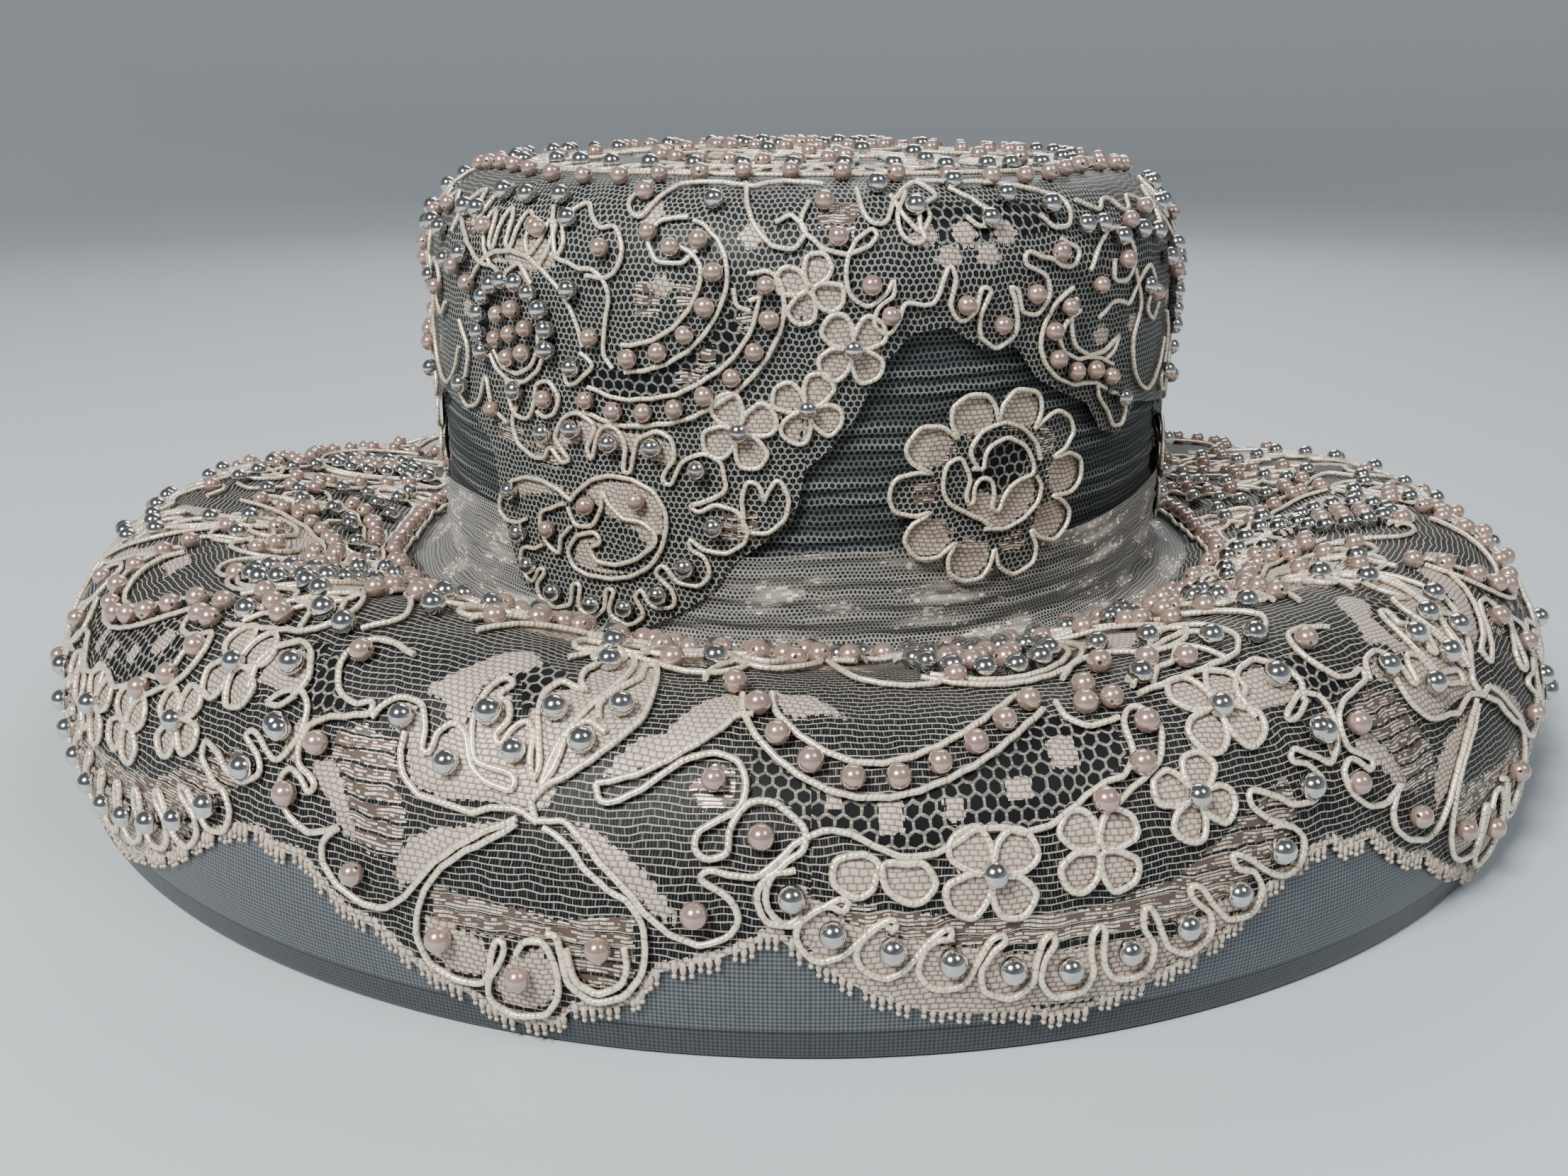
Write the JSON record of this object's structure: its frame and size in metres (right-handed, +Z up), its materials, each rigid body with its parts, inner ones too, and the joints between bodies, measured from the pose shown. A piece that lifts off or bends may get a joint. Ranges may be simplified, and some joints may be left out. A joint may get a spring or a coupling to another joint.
{
  "type": "wide brim hat",
  "caption": "Wide brim hat: stiff satin crown and rolled satin brim under pleated tulle, corded lace with scalloped edge, pearls and silver beads.",
  "frame": {"origin": "middle of the hat on the surface that the brim's edge stands on", "axes": "+Z up, -Y the front of the hat, +X the wearer's left"},
  "size_m": [0.3682, 0.3889, 0.1355],
  "materials": {
    "satin": "cool grey satin with a soft sheen",
    "tulle": "dark grey tulle in fine pleats",
    "veil": "sheer beige grey voile, gathered",
    "lace": "beige lace on grey net with metallic threads",
    "cord": "ivory satin cord, couched",
    "pearl": "pink beige pearl",
    "silver_bead": "mirror silver"
  },
  "bodies": {
    "root": {"crown": "satin", "brim": "satin", "tulle_wrap": "tulle", "veil_band": "veil", "crown_lace": "lace", "rosette_1": "lace", "rosette_2": "lace", "rosette_3": "lace", "brim_lace": "lace"}
  },
  "joints": []
}
